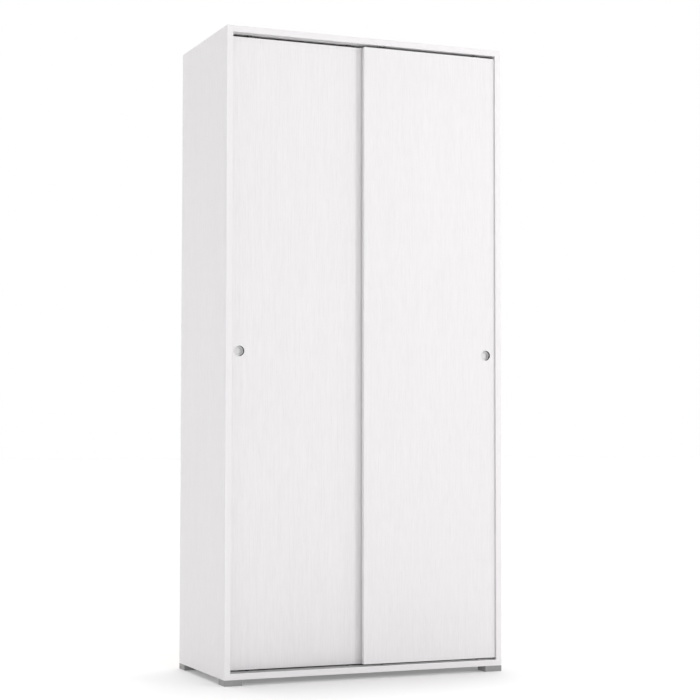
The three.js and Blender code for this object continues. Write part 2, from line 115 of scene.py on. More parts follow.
def add_world():
    """A white room: it lights the object more from the horizon, and the camera sees plain white."""
    world = bpy.data.worlds.new("studio")
    bpy.context.scene.world = world
    world.use_nodes = True
    tree = world.node_tree
    sky = tree.nodes["Background"]
    sky.inputs["Color"].default_value = (*LIGHT_TINT, 1)
    direction = tree.nodes.new("ShaderNodeTexCoord")
    height = tree.nodes.new("ShaderNodeSeparateXYZ")
    tree.links.new(direction.outputs["Generated"], height.inputs[0])
    fade = remap(world, height.outputs["Z"], 0.0, HORIZON_TOP, HORIZON_LIGHT, SKY_LIGHT)
    fade.node.interpolation_type = "SMOOTHSTEP"
    tree.links.new(fade, sky.inputs["Strength"])
    seen = tree.nodes.new("ShaderNodeBackground")
    seen.inputs["Color"].default_value = (1, 1, 1, 1)
    choose = tree.nodes.new("ShaderNodeMixShader")
    rays = tree.nodes.new("ShaderNodeLightPath")
    tree.links.new(rays.outputs["Is Camera Ray"], choose.inputs[0])
    tree.links.new(sky.outputs[0], choose.inputs[1])
    tree.links.new(seen.outputs[0], choose.inputs[2])
    tree.links.new(choose.outputs[0], tree.nodes["World Output"].inputs["Surface"])


def add_light(name, data, place, aim):
    light = bpy.data.objects.new(name, data)
    light.location = place
    light.rotation_euler = (Vector(aim) - Vector(place)).to_track_quat("-Z", "Y").to_euler()
    bpy.context.scene.collection.objects.link(light)


def add_lights():
    """A tall strip light to the right in front, and one broad light above and a little behind."""
    key = bpy.data.lights.new("key", "AREA")
    key.shape = "RECTANGLE"
    key.size, key.size_y = KEY_SIZE
    key.energy = KEY_POWER
    key.color = LIGHT_TINT
    side = KEY_DISTANCE * math.sin(KEY_ANGLE)
    ahead = KEY_DISTANCE * math.cos(KEY_ANGLE)
    add_light("key", key, (side, -ahead, KEY_HEIGHT), (0, 0, KEY_HEIGHT / 2))
    overhead = bpy.data.lights.new("overhead", "SUN")
    overhead.energy = OVERHEAD_STRENGTH
    overhead.color = LIGHT_TINT
    overhead.angle = OVERHEAD_SPREAD
    add_light("overhead", overhead, OVERHEAD_PLACE, (0, 0, 0))


def add_floor():
    """A plain pale floor, far larger than the view, lit a little from within like a light table."""
    shape = bmesh.new()
    bmesh.ops.create_grid(shape, x_segments=4, y_segments=4, size=FLOOR_REACH)
    mesh = bpy.data.meshes.new("floor")
    shape.to_mesh(mesh)
    shape.free()
    paint = plain_look("floor_paint", grey(FLOOR_WHITE), FLOOR_ROUGHNESS)
    shader_of(paint).inputs["Emission Color"].default_value = (1, 1, 1, 1)
    shader_of(paint).inputs["Emission Strength"].default_value = FLOOR_GLOW
    mesh.materials.append(paint)
    floor = bpy.data.objects.new("floor", mesh)
    bpy.context.scene.collection.objects.link(floor)


# ---------------------------------------------------------------- material nodes


# The span that most of a noise's values fall in.
NOISE_LOW, NOISE_HIGH = 0.3, 0.7


def shader_of(material):
    return material.node_tree.nodes["Principled BSDF"]


def plain_look(name, color, roughness, metallic=0.0):
    material = bpy.data.materials.new(name)
    material.use_nodes = True
    shader = shader_of(material)
    shader.inputs["Base Color"].default_value = (*color, 1)
    shader.inputs["Roughness"].default_value = roughness
    shader.inputs["Metallic"].default_value = metallic
    return material


def noise(material, frequency, detail=2.0, distortion=0.0):
    """A noise over the piece's own coordinates. frequency is in waves a metre along x, y and z."""
    tree = material.node_tree
    place = tree.nodes.new("ShaderNodeTexCoord")
    stretch = tree.nodes.new("ShaderNodeMapping")
    stretch.inputs["Scale"].default_value = frequency
    pattern = tree.nodes.new("ShaderNodeTexNoise")
    pattern.inputs["Scale"].default_value = 1.0
    pattern.inputs["Detail"].default_value = detail
    pattern.inputs["Distortion"].default_value = distortion
    tree.links.new(place.outputs["Object"], stretch.inputs["Vector"])
    tree.links.new(stretch.outputs["Vector"], pattern.inputs["Vector"])
    return pattern.outputs["Fac"]


def remap(owner, value, low, high, to_low=0.0, to_high=1.0):
    """A value of a material or the world, with low to high spread over to_low to to_high."""
    tree = owner.node_tree
    change = tree.nodes.new("ShaderNodeMapRange")
    limits = {"From Min": low, "From Max": high, "To Min": to_low, "To Max": to_high}
    for socket, number in limits.items():
        change.inputs[socket].default_value = number
    tree.links.new(value, change.inputs["Value"])
    return change.outputs["Result"]


def weigh(material, parts):
    """The sum of values, each times its weight."""
    tree = material.node_tree
    total = None
    for value, weight in parts:
        step = tree.nodes.new("ShaderNodeMath")
        step.operation = "MULTIPLY_ADD"
        step.inputs[1].default_value = weight
        step.inputs[2].default_value = 0.0
        tree.links.new(value, step.inputs[0])
        if total is not None:
            tree.links.new(total, step.inputs[2])
        total = step.outputs[0]
    return total


def tint(material, value, stops):
    """Colours the piece by a value, from (position, (r, g, b)) stops."""
    tree = material.node_tree
    ramp = tree.nodes.new("ShaderNodeValToRGB")
    elements = ramp.color_ramp.elements
    while len(elements) < len(stops):
        elements.new(1.0)
    for element, (position, color) in zip(elements, stops):
        element.position = position
        element.color = (*color, 1)
    tree.links.new(value, ramp.inputs["Fac"])
    tree.links.new(ramp.outputs["Color"], shader_of(material).inputs["Base Color"])


def roughen(material, value, at_low, at_high):
    """Varies the roughness with a value, from at_low to at_high."""
    result = remap(material, value, NOISE_LOW, NOISE_HIGH, at_low, at_high)
    material.node_tree.links.new(result, shader_of(material).inputs["Roughness"])


def emboss(material, value, height, strength):
    """Raises the surface with a value, in looks only."""
    tree = material.node_tree
    bump = tree.nodes.new("ShaderNodeBump")
    bump.inputs["Strength"].default_value = strength
    bump.inputs["Distance"].default_value = height
    tree.links.new(value, bump.inputs["Height"])
    tree.links.new(bump.outputs["Normal"], shader_of(material).inputs["Normal"])


def grey(level):
    return (level, level, level)


def even(frequency):
    """Frequencies for a pattern that is the same along every axis."""
    return (frequency, frequency, frequency)


def along(axis, across, lengthwise):
    """Frequencies for a grain that runs along one axis."""
    return tuple(lengthwise if name == axis else across for name in "XYZ")


def grain_layer(material, axis, across, lengthwise, low, high, detail=2.0, distortion=0.0):
    """A noise stretched along an axis, with low to high spread over 0 to 1."""
    value = noise(material, along(axis, across, lengthwise), detail, distortion)
    return remap(material, value, low, high)


# ---------------------------------------------------------------- materials

LAMINATE_LIGHT = (0.815, 0.805, 0.81)
LAMINATE_DARK = (0.735, 0.725, 0.73)


def laminate_look(name, axis):
    """White ash laminate: fine pores, long thin lines, short streaks and soft bands of growth."""
    look = plain_look(name, LAMINATE_LIGHT, roughness=0.5)
    pores = grain_layer(look, axis, across=900, lengthwise=22, low=0.36, high=0.48, detail=3)
    streaks = grain_layer(look, axis, across=190, lengthwise=22, low=0.3, high=0.7, detail=3)
    lines = grain_layer(look, axis, across=420, lengthwise=4, low=0.35, high=0.65)
    bands = grain_layer(look, axis, across=22, lengthwise=0.8, low=0.3, high=0.7, distortion=0.8)
    grain = weigh(look, [(pores, 0.34), (streaks, 0.3), (lines, 0.28), (bands, 0.08)])
    tint(look, grain, [(0.0, LAMINATE_DARK), (1.0, LAMINATE_LIGHT)])
    roughen(look, pores, at_low=0.6, at_high=0.46)
    emboss(look, pores, height=0.06 * MM, strength=0.6)
    return look


def edge_band_look():
    """The plastic band glued along a board's edge: plain, with a slight orange peel."""
    look = plain_look("edge_band", (0.8, 0.79, 0.795), roughness=0.4)
    peel = noise(look, even(700))
    tint(look, peel, [(0.2, (0.785, 0.775, 0.78)), (0.8, LAMINATE_LIGHT)])
    roughen(look, peel, at_low=0.36, at_high=0.46)
    emboss(look, peel, height=0.03 * MM, strength=0.5)
    return look


def chipboard_look():
    """Raw particle board, where it is cut or drilled: flat chips of mixed browns."""
    look = plain_look("chipboard", (0.45, 0.33, 0.2), roughness=0.9)
    chips = noise(look, (520, 520, 900), detail=4, distortion=0.3)
    browns = [
        (0.3, (0.16, 0.1, 0.05)),
        (0.45, (0.38, 0.26, 0.14)),
        (0.58, (0.55, 0.41, 0.25)),
        (0.72, (0.68, 0.55, 0.37)),
    ]
    tint(look, chips, browns)
    emboss(look, chips, height=0.2 * MM, strength=0.8)
    return look


def painted_hardboard_look():
    """The lacquered inner face of the back boards."""
    look = plain_look("painted_hardboard", (0.78, 0.77, 0.765), roughness=0.6)
    felt = noise(look, even(500), detail=3)
    tint(look, felt, [(0.25, (0.755, 0.745, 0.74)), (0.75, (0.8, 0.79, 0.785))])
    roughen(look, felt, at_low=0.5, at_high=0.65)
    emboss(look, felt, height=0.04 * MM, strength=0.6)
    return look


def raw_hardboard_look():
    """The bare rear face of the back boards: pressed brown fibres, uneven in tone."""
    look = plain_look("raw_hardboard", (0.42, 0.28, 0.16), roughness=0.85)
    fibres = noise(look, even(900), detail=4, distortion=1.5)
    clouds = noise(look, (14, 14, 9), detail=3, distortion=0.5)
    tone = weigh(look, [(fibres, 0.82), (clouds, 0.18)])
    browns = [(0.35, (0.27, 0.165, 0.085)), (0.5, (0.41, 0.27, 0.15)), (0.65, (0.52, 0.36, 0.21))]
    tint(look, tone, browns)
    emboss(look, fibres, height=0.15 * MM, strength=0.7)
    return look


def moulded_plastic_look(name, dark, light, roughness):
    """Moulded plastic: a fine spark-eroded texture and slightly cloudy colour."""
    look = plain_look(name, light, roughness)
    texture = noise(look, even(1600))
    clouds = noise(look, even(60))
    tone = weigh(look, [(texture, 0.5), (clouds, 0.5)])
    tint(look, tone, [(NOISE_LOW, dark), (NOISE_HIGH, light)])
    roughen(look, texture, at_low=roughness - 0.06, at_high=roughness + 0.06)
    emboss(look, texture, height=0.05 * MM, strength=0.5)
    return look


def brushed_look(name, axis, dark, light, roughness):
    """Metal with fine lines along one axis."""
    look = plain_look(name, light, roughness, metallic=1.0)
    lines = noise(look, along(axis, across=2600, lengthwise=12))
    wear = noise(look, even(40), detail=3)
    tone = weigh(look, [(lines, 0.6), (wear, 0.4)])
    tint(look, tone, [(NOISE_LOW, dark), (NOISE_HIGH, light)])
    roughen(look, tone, at_low=roughness + 0.08, at_high=roughness - 0.08)
    emboss(look, lines, height=0.02 * MM, strength=0.4)
    return look


def blasted_look(name, dark, light, roughness, metallic=1.0):
    """Fine even metal, such as satin nickel or zinc plate."""
    look = plain_look(name, light, roughness, metallic)
    beads = noise(look, even(3000))
    wear = noise(look, even(150), detail=3)
    tone = weigh(look, [(beads, 0.5), (wear, 0.5)])
    tint(look, tone, [(0.35, dark), (0.65, light)])
    roughen(look, tone, at_low=roughness + 0.06, at_high=roughness - 0.06)
    emboss(look, beads, height=0.01 * MM, strength=0.4)
    return look


def clear_rubber_look():
    """Soft rubber that lets some light through."""
    look = plain_look("clear_rubber", (0.78, 0.78, 0.76), roughness=0.28)
    shader_of(look).inputs["Transmission Weight"].default_value = 0.55
    shader_of(look).inputs["IOR"].default_value = 1.48
    haze = noise(look, even(900))
    tint(look, haze, [(NOISE_LOW, (0.7, 0.7, 0.68)), (NOISE_HIGH, (0.82, 0.82, 0.8))])
    roughen(look, haze, at_low=0.22, at_high=0.34)
    return look


UPRIGHT_LAMINATE = laminate_look("laminate_upright", "Z")
LEVEL_LAMINATE = laminate_look("laminate_level", "X")
EDGE_BAND = edge_band_look()
CHIPBOARD = chipboard_look()
PAINTED_HARDBOARD = painted_hardboard_look()
RAW_HARDBOARD = raw_hardboard_look()
GREY_PLASTIC = moulded_plastic_look("grey_plastic", grey(0.27), grey(0.31), roughness=0.5)
DARK_PLASTIC = moulded_plastic_look("dark_plastic", grey(0.032), grey(0.05), roughness=0.45)
PALE_PLASTIC = moulded_plastic_look("pale_plastic", grey(0.6), grey(0.68), roughness=0.42)
TRACK_METAL = brushed_look("track_metal", "X", grey(0.36), grey(0.46), roughness=0.42)
PULL_METAL = blasted_look("pull_metal", grey(0.75), grey(0.83), roughness=0.5, metallic=0.3)
# Painted shade: the pull's inner wall is coloured near-black to stand in for the shade inside the
# cup.
PULL_PAINTED_SHADE_WALL = blasted_look("pull_wall_painted_shade", grey(0.03), grey(0.05), roughness=0.45, metallic=0.5)
CHROME = blasted_look("chrome", grey(0.62), grey(0.68), roughness=0.14)
ZINC = blasted_look("zinc", (0.5, 0.5, 0.51), (0.62, 0.62, 0.61), roughness=0.3)
CLEAR_RUBBER = clear_rubber_look()

# ---------------------------------------------------------------- mesh helpers

SMOOTH_UNDER = math.radians(38)
WELD = 0.004 * MM
CAD_WELD = 0.005 * MM
CAD_FLAT_WITHIN = math.radians(0.5)
NEGLIGIBLE = 1e-7
HOLE_SEGMENTS = 20
SMALL_SEGMENTS = 32


def facing(outward, place):
    """The transform that turns the z axis outward and carries the origin to a place."""
    turn = Z.rotation_difference(Vector(outward)).to_matrix().to_4x4()
    return Matrix.Translation(place) @ turn


def rounded(corners, steps=5):
    """An outline through (x, y, radius) corners, each rounded by an arc of that radius."""
    outline = []
    for index, (x, y, radius) in enumerate(corners):
        corner = Vector((x, y))
        if not radius:
            outline.append(corner)
            continue
        back = (Vector(corners[index - 1][:2]) - corner).normalized()
        ahead = (Vector(corners[(index + 1) % len(corners)][:2]) - corner).normalized()
        half = back.angle(ahead) / 2
        centre = corner + (back + ahead).normalized() * radius / math.sin(half)
        first = corner + back * radius / math.tan(half) - centre
        last = corner + ahead * radius / math.tan(half) - centre
        sweep = math.pi - 2 * half
        for step in range(steps + 1):
            share = step / steps
            spoke = first * math.sin((1 - share) * sweep) + last * math.sin(share * sweep)
            outline.append(centre + spoke / math.sin(sweep))
    return outline


def turned(profile, centre, axis, segments=48):
    """A body of revolution. profile is (radius, distance along the axis); a tube's profile closes."""
    shape = bmesh.new()
    rings = []
    for radius, height in profile:
        count = segments if radius > NEGLIGIBLE else 1
        turns = [2 * math.pi * n / count for n in range(count)]
        places = [(radius * math.cos(a), radius * math.sin(a), height) for a in turns]
        rings.append([shape.verts.new(place) for place in places])
    pairs = list(zip(rings, rings[1:]))
    if len(rings[0]) > 1:
        pairs.append((rings[-1], rings[0]))
    for low, high in pairs:
        for n in range(segments):
            after = (n + 1) % segments
            loop = [low[n % len(low)], low[after % len(low)]]
            loop += [high[after % len(high)], high[n % len(high)]]
            shape.faces.new(list(dict.fromkeys(loop)))
    bmesh.ops.recalc_face_normals(shape, faces=shape.faces)
    bmesh.ops.transform(shape, matrix=facing(axis, centre), verts=shape.verts)
    return shape


def rod(radius, start, end, place, axis, segments=48):
    """A plain cylinder from start to end along an axis through a place."""
    return turned([(0, start), (radius, start), (radius, end), (0, end)], place, axis, segments)


def prism(outline, axis, start, end, edge=0.0):
    """An outline pushed along an axis. It is drawn in the other two axes, in the order x, y, z."""
    slot = "XYZ".index(axis)

    def point(u, v, w):
        place = [u, v]
        place.insert(slot, w)
        return place

    shape = bmesh.new()
    floor = [shape.verts.new(point(u, v, start)) for u, v in outline]
    roof = [shape.verts.new(point(u, v, end)) for u, v in outline]
    shape.faces.new(floor)
    shape.faces.new(roof)
    for n in range(len(outline)):
        after = (n + 1) % len(outline)
        shape.faces.new((floor[n], floor[after], roof[after], roof[n]))
    bmesh.ops.recalc_face_normals(shape, faces=shape.faces)
    if edge:
        spans = {e: abs((e.verts[0].co - e.verts[1].co)[slot]) for e in shape.edges}
        ends = [e for e, span in spans.items() if span < NEGLIGIBLE]
        bmesh.ops.bevel(shape, geom=ends, offset=edge, segments=3, profile=0.5, affect="EDGES")
    return shape


def rectangle(low, high, radius=0.0):
    """A rectangular outline with round corners."""
    (a, b), (c, d) = low, high
    return rounded([(a, b, radius), (c, b, radius), (c, d, radius), (a, d, radius)])


def oval(centre, radius, straight, steps=20):
    """An upright oval in y and z: half circles joined by a straight stretch."""
    y, z = centre
    outline = []
    for top in (1, -1):
        for step in range(steps + 1):
            angle = math.pi * step / steps
            across = radius * math.cos(angle) * top
            outline.append(Vector((y + across, z + top * (straight / 2 + radius * math.sin(angle)))))
    return outline


def cad_shape(node):
    """A CAD node's own shape, welded, with its flat faces merged."""
    shape = bmesh.new()
    shape.from_mesh(frame["nodes"][node].data)
    bmesh.ops.remove_doubles(shape, verts=shape.verts, dist=CAD_WELD)
    verts, edges = shape.verts, shape.edges
    bmesh.ops.dissolve_limit(shape, angle_limit=CAD_FLAT_WITHIN, verts=verts, edges=edges)
    return shape


def merge(shapes):
    """Several shapes as one."""
    whole = bmesh.new()
    for shape in shapes:
        mesh = bpy.data.meshes.new("part")
        shape.to_mesh(mesh)
        shape.free()
        whole.from_mesh(mesh)
        bpy.data.meshes.remove(mesh)
    return whole


def combine(shape, tool, operation, tool_index=0):
    """A boolean of two shapes. New faces take the tool's material index."""
    for face in tool.faces:
        face.material_index = tool_index
    objects = []
    for part in (shape, tool):
        mesh = bpy.data.meshes.new("part")
        part.to_mesh(mesh)
        part.free()
        objects.append(bpy.data.objects.new("part", mesh))
        bpy.context.scene.collection.objects.link(objects[-1])
    base, other = objects
    change = base.modifiers.new("change", "BOOLEAN")
    change.object = other
    change.operation = operation
    change.solver = "EXACT"
    depsgraph = bpy.context.evaluated_depsgraph_get()
    made = bmesh.new()
    made.from_mesh(base.evaluated_get(depsgraph).to_mesh())
    for used in objects:
        mesh = used.data
        bpy.data.objects.remove(used)
        bpy.data.meshes.remove(mesh)
    return made


def cut(shape, *tools, index=0):
    """A shape less its tools, with the cut faces in the given material."""
    return combine(shape, merge(tools), "DIFFERENCE", index)


def join(shape, *others):
    """Overlapping shapes made one solid."""
    return combine(shape, merge(others), "UNION")


def weld(shape):
    """Joins points a few microns apart, and drops the faces that this flattens or cuts loose."""
    bmesh.ops.remove_doubles(shape, verts=shape.verts, dist=WELD)
    bmesh.ops.dissolve_degenerate(shape, dist=WELD, edges=shape.edges)
    loose = [face for face in shape.faces if all(edge.is_boundary for edge in face.edges)]
    bmesh.ops.delete(shape, geom=loose, context="FACES")


def show(name, shape, body, looks, replaces=()):
    """Puts a finished shape into the scene as a piece that moves with a body."""
    mesh = bpy.data.meshes.new(name)
    weld(shape)
    shape.to_mesh(mesh)
    shape.free()
    for look in looks:
        mesh.materials.append(look)
    mesh.shade_smooth()
    mesh.set_sharp_from_angle(angle=SMOOTH_UNDER)
    piece = bpy.data.objects.new(name, mesh)
    bpy.context.scene.collection.objects.link(piece)
    flat = piece.modifiers.new("flat_faces", "WEIGHTED_NORMAL")
    flat.keep_sharp = True
    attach(piece, body)
    if replaces:
        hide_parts(*replaces)


def stand_in(node, shape, slot, *looks):
    """Shows the finely built piece that stands for one CAD node, on that node's body."""
    body = frame["nodes"][node]["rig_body"]
    show(f"{node}_detailed", shape, body, looks, [node])


def middle(node, x=None, y=None, z=None):
    """The middle of a node's box, or the place level with it at a given x, y or z."""
    low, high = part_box(node)
    centre = (low + high) / 2
    return Vector([centre[n] if given is None else given for n, given in enumerate((x, y, z))])


# ---------------------------------------------------------------- boards

CARCASS_ARRIS = 0.5 * MM
DOOR_ARRIS = 0.6 * MM
SAWN_ARRIS = 0.2 * MM
SHARP_OVER = math.radians(60)
TOUCHING = 0.01 * MM
SHORT_EDGE = 1 * MM
# A face looks along an axis when that part of its normal is over this.
SQUARE_ON = 0.9
FACE_INDEX, BAND_INDEX, RAW_INDEX = 0, 1, 2
FIXED_SHELVES = ("hat_shelf", "fixed_shelf")


def on_box(point, low, high, reach):
    """Which of the axes put the point on the outside of the box."""
    return [min(abs(point[n] - low[n]), abs(point[n] - high[n])) < reach for n in range(3)]


def long_arrises(shape, low, high):
    """The edges of a board along its longest side, at the corners of its section."""
    size = high - low
    long = max(range(3), key=lambda n: size[n])
    chosen = []
    for edge in shape.edges:
        ends = [on_box(vert.co, low, high, TOUCHING) for vert in edge.verts]
        at_corner = all(end[n] for end in ends for n in range(3) if n != long)
        if at_corner and abs((edge.verts[0].co - edge.verts[1].co)[long]) > SHORT_EDGE:
            chosen.append(edge)
    return chosen


def board(node, laminate, banded, raw, arris):
    """A board with rounded arrises. banded and raw name its sides with a band or bare chipboard."""
    low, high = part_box(node)
    shape = cad_shape(node)
    long = long_arrises(shape, low, high)
    bmesh.ops.bevel(shape, geom=long, offset=arris, segments=3, profile=0.5, affect="EDGES")
    sharp = [e for e in shape.edges if e.is_manifold and e.calc_face_angle(0) > SHARP_OVER]
    bmesh.ops.bevel(shape, geom=sharp, offset=SAWN_ARRIS, segments=1, affect="EDGES")
    for face in shape.faces:
        face.material_index = board_face(face, low, high, banded, raw, arris)
    return shape, (laminate, EDGE_BAND, CHIPBOARD)


def board_face(face, low, high, banded, raw, arris):
    """The material of a board's face: laminate, edge band, or bare chipboard inside cuts."""
    centre = face.calc_center_median()
    if not any(on_box(centre, low, high, arris)):
        return RAW_INDEX
    side = max(range(3), key=lambda n: abs(face.normal[n]))
    name = ("+" if face.normal[side] > 0 else "-") + "xyz"[side]
    if abs(face.normal[side]) < SQUARE_ON:
        return FACE_INDEX
    if name in banded:
        return BAND_INDEX
    return RAW_INDEX if name in raw else FACE_INDEX


# Rows of unused holes for shelf pins, above and below each pair that is in use.
PIN_PITCH = 32 * MM
PIN_HOLE_RADIUS = 2.5 * MM
PIN_HOLE_DEPTH = 10 * MM
PIN_HOLE_LIP = 0.3 * MM
SPARE_HOLES = (-4, -3, -2, -1, 1, 2, 3, 4)
SHELVES = ("lower", "upper")
BAY_FACES = {
    "left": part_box("centre_partition")[1].x,
    "right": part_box("right_side_panel")[0].x,
}


def spare_pin_holes(side):
    """Cutting tools for the spare holes of one side of the shelf bay."""
    tools = []
    for shelf in SHELVES:
        for row in ROWS:
            centre = middle(f"shelf_pin_{shelf}_{side}_{row}", x=BAY_FACES[side])
            for step in SPARE_HOLES:
                tools.append(blind_hole(centre + step * PIN_PITCH * Z, -INWARD[side]))
    return tools


def blind_hole(mouth, into_board):
    radius, lip, depth = PIN_HOLE_RADIUS, PIN_HOLE_LIP, PIN_HOLE_DEPTH
    profile = [(0, -lip), (radius + 2 * lip, -lip), (radius, lip), (radius, depth), (0, depth)]
    return turned(profile, mouth, into_board, HOLE_SEGMENTS)


def add_board(node, laminate, banded, raw, arris=CARCASS_ARRIS, holes=(), slot="carcass_laminate"):
    shape, looks = board(node, laminate, banded, raw, arris)
    if holes:
        shape = cut(shape, *holes, index=RAW_INDEX)
    stand_in(node, shape, slot, *looks)


def add_boards():
    sides = {"left": (), "right": spare_pin_holes("right")}
    for side, holes in sides.items():
        add_board(f"{side}_side_panel", UPRIGHT_LAMINATE, ("-y", "+z", "-z"), ("+y",), holes=holes)
    add_board("centre_partition", UPRIGHT_LAMINATE, ("-y",), ("+y",), holes=spare_pin_holes("left"))
    for node in ("top_panel", "bottom_panel", *FIXED_SHELVES):
        add_board(node, LEVEL_LAMINATE, ("-y",), ("+y",))
    for shelf in SHELVES:
        add_board(f"adjustable_shelf_{shelf}", LEVEL_LAMINATE, ("-y", "-x", "+x"), ("+y",))
    for door in DOORS:
        edges = ("-x", "+x", "-z", "+z")
        node = f"{door}_panel"
        add_board(node, UPRIGHT_LAMINATE, edges, (), arris=DOOR_ARRIS, slot="door_laminate")


def add_back_boards():
    """Two thin boards, lacquered inside and bare behind."""
    for side in ENDS:
        node = f"back_panel_{side}"
        shape = cad_shape(node)
        bmesh.ops.bevel(shape, geom=shape.edges[:], offset=SAWN_ARRIS, segments=1, affect="EDGES")
        for face in shape.faces:
            face.material_index = 0 if face.normal.y < -SQUARE_ON else 1
        stand_in(node, shape, "back_board", PAINTED_HARDBOARD, RAW_HARDBOARD)


# ---------------------------------------------------------------- screws, nails and small steel

SCREW_CHAMFER = 0.1 * MM
# Shares of the head's radius, and of its height for the dome.
SCREW_NECK = 0.45
SCREW_DOME = 0.7
RECESS_REACH = 1.15
RECESS_DEPTH = 0.5
# The width of a recess at its bottom, as a share of that at its mouth.
RECESS_TAPER = 0.55


def cross_recess(centre, outward, reach, depth):
    """The tool for a cross-shaped screw recess, narrower at its bottom."""
    arms = []
    for half_u, half_v in ((reach / 2, reach / 6), (reach / 6, reach / 2)):
        arm = prism(rectangle((-half_u, -half_v), (half_u, half_v)), "Z", -depth, depth)
        for vert in arm.verts:
            if vert.co.z < 0:
                vert.co.xy *= RECESS_TAPER
        arms.append(arm)
    tool = join(*arms)
    bmesh.ops.transform(tool, matrix=facing(outward, centre), verts=tool.verts)
    return tool


def screw_head(radius, height, countersunk=False):
    """A screw's head standing on z = 0, or let in below it if countersunk."""
    if countersunk:
        slope = [(radius * SCREW_NECK, -height, 0), (radius, 0, SCREW_CHAMFER), (0, 0, 0)]
        profile = [(0, -height)] + rounded(slope)
    else:
        dome = height * SCREW_DOME
        profile = rounded([(0, 0, 0), (radius, 0, 0), (radius, height, dome), (0, height, 0)])
    head = turned(profile, (0, 0, 0), Z, SMALL_SEGMENTS)
    top = Vector((0, 0, 0 if countersunk else height))
    return cut(head, cross_recess(top, Z, radius * RECESS_REACH, radius * RECESS_DEPTH))


def stamped(shape, places, outward):
    """Copies of a shape at several places, its z axis turned outward."""
    mesh = bpy.data.meshes.new("stamp")
    shape.to_mesh(mesh)
    shape.free()
    whole = bmesh.new()
    for place in places:
        before = len(whole.verts)
        whole.from_mesh(mesh)
        whole.verts.ensure_lookup_table()
        bmesh.ops.transform(whole, matrix=facing(outward, place), verts=whole.verts[before:])
    bpy.data.meshes.remove(mesh)
    return whole


def spread(low, high, pitch):
    """Evenly spaced values from low to high, about a pitch apart."""
    steps = max(1, round((high - low) / pitch))
    return [low + (high - low) * step / steps for step in range(steps + 1)]


CAM_EDGE = 0.4 * MM
CAM_DISH = 0.3 * MM
# Shares of the cam's radius.
CAM_FACE = 0.8
CAM_RECESS = 1.25


def cam(centre, radius, height, outward):
    """A cam lock: a disc with a shallow dished face and a cross for the screwdriver."""
    face = radius * CAM_FACE
    profile = [
        (0, -height),
        (radius, -height),
        (radius, -CAM_EDGE),
        (radius - CAM_EDGE, 0),
        (face, 0),
        (face - CAM_DISH, -CAM_DISH),
        (0, -CAM_DISH),
    ]
    disc = turned(profile, centre, outward)
    return cut(disc, cross_recess(centre, outward, radius * CAM_RECESS, height / 4))


def add_cams():
    for side in ENDS:
        for row in ROWS:
            node = f"cam_lock_{side}_{row}"
            low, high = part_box(node)
            shape = cam(middle(node, z=low.z), (high.x - low.x) / 2, high.z - low.z, -Z)
            stand_in(node, shape, "fitting_steel", ZINC)


PIN_COLLAR_LENGTH = 1.5 * MM
PIN_CHAMFER = 0.35 * MM


def add_pins():
    """Shelf pins: a chamfered peg with a thin collar at the board's face."""
    for shelf in SHELVES:
        for side, inward in INWARD.items():
            for row in ROWS:
                node = f"shelf_pin_{shelf}_{side}_{row}"
                low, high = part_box(node)
                reach = (high.x - low.x) / 2
                collar = (high.y - low.y) / 2
                corners = [
                    (0, -reach, 0),
                    (PIN_HOLE_RADIUS, -reach, PIN_CHAMFER),
                    (PIN_HOLE_RADIUS, 0, 0),
                    (collar, 0, PIN_CHAMFER),
                    (collar, PIN_COLLAR_LENGTH, PIN_CHAMFER),
                    (PIN_HOLE_RADIUS, PIN_COLLAR_LENGTH, PIN_CHAMFER),
                    (PIN_HOLE_RADIUS, reach, 2 * PIN_CHAMFER),
                    (0, reach, 0),
                ]
                mouth = middle(node, x=BAY_FACES[side])
                pin = turned(rounded(corners, steps=3), mouth, inward, SMALL_SEGMENTS)
                stand_in(node, pin, "fitting_steel", ZINC)


NAIL_RADIUS = 1.3 * MM
NAIL_DOME = 0.5 * MM
NAIL_ROUND = 0.4 * MM
NAIL_INSET = 4 * MM
NAIL_RAIL_INSET = 9 * MM
NAIL_PITCH = 130 * MM


def add_nails():
    """The nails that hold the back boards, round both boards and along the partition."""
    places = []
    for side in ENDS:
        low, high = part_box(f"back_panel_{side}")
        for x in (low.x + NAIL_INSET, high.x - NAIL_INSET):
            for z in spread(low.z + NAIL_RAIL_INSET, high.z - NAIL_RAIL_INSET, NAIL_PITCH):
                places.append((x, high.y, z))
        for z in (low.z + NAIL_RAIL_INSET, high.z - NAIL_RAIL_INSET):
            for x in spread(low.x + NAIL_INSET, high.x - NAIL_INSET, NAIL_PITCH)[1:-1]:
                places.append((x, high.y, z))
    dome = [(0, 0, 0), (NAIL_RADIUS, 0, 0), (NAIL_RADIUS, NAIL_DOME, NAIL_ROUND), (0, NAIL_DOME, 0)]
    nail = turned(rounded(dome), (0, 0, 0), Z, segments=16)
    show("back_board_nails", stamped(nail, places, Y), "carcass", [ZINC])


SHELF_CAM_THICKNESS = 0.3 * MM
SHELF_CAM_INSET = (34 * MM, 60 * MM)


def add_shelf_cams():
    """Cam locks under the two shelves that are fixed, let in almost flush."""
    low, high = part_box("cam_lock_left_front")
    radius = (high.x - low.x) / 2
    rim = radius - CAM_DISH
    thickness = SHELF_CAM_THICKNESS
    profile = [(0, -CAM_EDGE), (radius, -CAM_EDGE), (radius, 0), (rim, thickness), (0, thickness)]
    inset_x, inset_y = SHELF_CAM_INSET
    for node in FIXED_SHELVES:
        low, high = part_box(node)
        places = [
            (x, y, low.z)
            for x in (low.x + inset_x, high.x - inset_x)
            for y in (low.y + inset_y, high.y - inset_y)
        ]
        recess = cross_recess(thickness * Z, Z, radius * CAM_RECESS, thickness)
        disc = cut(turned(profile, (0, 0, 0), Z), recess)
        show(f"{node}_cams", stamped(disc, places, -Z), "carcass", [ZINC])


# ---------------------------------------------------------------- feet

